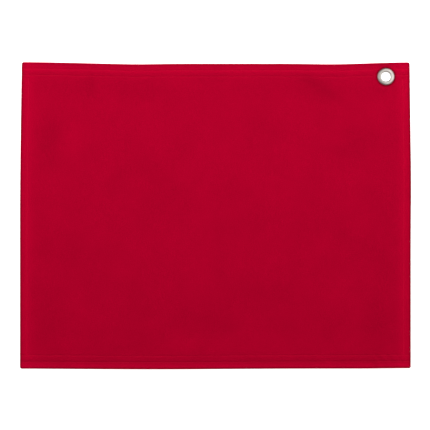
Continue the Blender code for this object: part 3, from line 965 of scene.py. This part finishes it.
# %% Turn a section about the eyelet's axis
def turn_section(name, section):
    """A closed section (r, z) turned about the eyelet's axis."""
    turns = np.arange(TURN_STEPS) / TURN_STEPS * math.tau
    r, z = section[:, 0], section[:, 1]
    points = np.stack([
        EYELET_X + r[None] * np.cos(turns)[:, None],
        EYELET_Y + r[None] * np.sin(turns)[:, None],
        np.broadcast_to(z, (TURN_STEPS, len(z))),
    ], 2)
    number = np.arange(points[..., 0].size).reshape(TURN_STEPS, len(z))
    after, beside = np.roll(number, -1, 0), np.roll(number, -1, 1)
    faces = np.stack([number, after, np.roll(after, -1, 1), beside], 2).reshape(-1, 4)
    area = np.sum(r * np.roll(z, -1) - np.roll(r, -1) * z)
    if area < 0:
        faces = faces[:, ::-1]
    ring = new_mesh(name, points.reshape(-1, 3), faces)
    give(ring, "flat_place", "FLOAT_VECTOR", points.reshape(-1, 3))
    # Painted shade and painted reflection of the cloth, strongest at the rim.
    from_rim = FLANGE - np.hypot(points[..., 0] - EYELET_X, points[..., 1] - EYELET_Y)
    give(ring, "painted_rim_shade_and_reflection", "FLOAT", RIM_PAINTED_SHARE * fall(from_rim, 0, RIM_REACH))
    return ring


print("the eyelet's sections turn in", TURN_STEPS, "steps")

# %% The flange with its barrel, and the washer
ROLL_SHARE = 0.95  # the barrel's roll, as a share of the room under the washer
LIP = 0.9 * MM  # how far the rolled end reaches on
SHOULDER = 1.15 * MM  # radius between the barrel and the dome
ROLL_STEPS, SHOULDER_STEPS, DOME_STEPS = 8, 12, 16
DOME_POWER, CURL_POWER = 1.8, 9  # how late the dome and its rim turn down
WASHER_GAP = 0.65 * MM  # between the barrel and the washer
WASHER_DISH = 0.12 * MM

wall = BORE + METAL / 2
roll = (washer_low.z - METAL / 2) * ROLL_SHARE
crown = FLANGE_TOP - METAL / 2
rim = FLANGE - METAL / 2
flange_path = [(BORE + METAL + roll + LIP, METAL / 2)]
flange_path += arc(wall + roll, METAL / 2 + roll, roll, 270, 180, ROLL_STEPS)
flange_path += arc(wall + SHOULDER, crown - SHOULDER, SHOULDER, 180, 90, SHOULDER_STEPS)
for share in np.linspace(0, 1, DOME_STEPS + 1)[1:]:
    drop = DOME_DROP * ((1 - EDGE_CURL) * share ** DOME_POWER + EDGE_CURL * share ** CURL_POWER)
    flange_path.append((wall + SHOULDER + (rim - wall - SHOULDER) * share, crown - drop))
flange = turn_section("eyelet_front", sheet_section(flange_path, METAL))

washer_mid = (washer_low.z + washer_high.z) / 2
washer_inner = BORE + METAL + WASHER_GAP
washer_path = []
for share in np.linspace(0, 1, DOME_STEPS // 2 + 1):
    dish = WASHER_DISH * math.sin(math.pi * share)
    washer_path.append((washer_inner + (rim - washer_inner) * share, washer_mid - dish))
washer = turn_section("eyelet_back", sheet_section(washer_path, METAL))
print("eyelet", round(2 * FLANGE / MM, 1), "mm across, bore", round(2 * BORE / MM, 1), "mm")

# %% [markdown]
# ## Nickel plate
# Nickel is a warm, light grey metal. Here it is barrel plated on brass, so it is not a
# mirror: handling has left it satin, with soft, broad highlights and scratches too fine to
# see one by one. A plain colour map with even roughness would look like plastic, so both
# vary slowly over a few millimetres. Towards the rim the colour turns to a painted shade,
# a dark red that also stands for the cloth's painted reflection in the curl.

# %% Nickel plate
NICKEL = "#c4beb8"
WORN_NICKEL = "#b4ada6"
RIM_PAINTED_COLOUR = "#74404a"  # painted shade, and the cloth's painted reflection in the curl
HANDLED_SIZE = 4 * MM  # patches that hands have dulled
SCRATCH = 0.35 * MM  # drawn far coarser than they are so that they show
SCRATCH_DEPTH = 0.03 * MM
SMOOTHEST, ROUGHEST = 0.34, 0.46  # roughness, between which the handling varies


def nickel():
    """Plated metal, satin from handling."""
    material, tree = new_material("nickel_plated_brass")
    place = cloth_place(tree)
    handled = add(tree, "ShaderNodeTexNoise", {"Vector": place, "Scale": 1 / HANDLED_SIZE, "Detail": 4})
    scratches = add(tree, "ShaderNodeTexNoise", {
        "Vector": place, "Scale": 1 / SCRATCH, "Detail": 2, "Distortion": 1.5,
    })
    rough = add(tree, "ShaderNodeMapRange", {
        "Value": handled.outputs[0], "From Min": 0.3, "From Max": 0.7,
        "To Min": SMOOTHEST, "To Max": ROUGHEST,
    })
    height = add(tree, "ShaderNodeBump", {
        "Height": scratches.outputs[0], "Strength": 0.12, "Distance": SCRATCH_DEPTH,
    })
    colour = add(tree, "ShaderNodeMix", {
        0: handled.outputs[0], "A": linear(NICKEL), "B": linear(WORN_NICKEL),
    }, data_type="RGBA")
    # Painted shade and painted reflection towards the rim.
    rim_paint = add(tree, "ShaderNodeAttribute", attribute_name="painted_rim_shade_and_reflection")
    rim_painted = add(tree, "ShaderNodeMix", {
        0: rim_paint.outputs["Fac"], "A": colour.outputs["Result"], "B": linear(RIM_PAINTED_COLOUR),
    }, data_type="RGBA")
    finish_material(tree, add(tree, "ShaderNodeBsdfPrincipled", {
        "Base Color": rim_painted.outputs["Result"], "Metallic": 1.0,
        "Roughness": rough.outputs[0], "Normal": height.outputs[0],
    }))
    return material


plate = nickel()
for ring in (flange, washer):
    ring.data.materials.append(plate)
print("nickel roughness", SMOOTHEST, "to", ROUGHEST)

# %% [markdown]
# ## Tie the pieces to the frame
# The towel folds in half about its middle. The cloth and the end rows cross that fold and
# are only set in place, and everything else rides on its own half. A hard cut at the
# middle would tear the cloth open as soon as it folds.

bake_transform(cloth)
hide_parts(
    "panel_left", "panel_right", "side_hem_left", "side_hem_right",
    "top_hem_left", "top_hem_right", "bottom_hem_left", "bottom_hem_right",
)

node_names = list(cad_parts)
for prefix, thread in rows.items():
    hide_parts(*[name for name in node_names if name.startswith(prefix)])
    if "side" in prefix:
        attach(thread, "left_half" if prefix.endswith("left") else "right_half")
    else:
        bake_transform(thread)

for ring, node in ((flange, "eyelet_flange"), (washer, "eyelet_washer")):
    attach(ring, "right_half")
    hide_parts(node)

print(len(rows) + 3, "pieces tied to two halves")
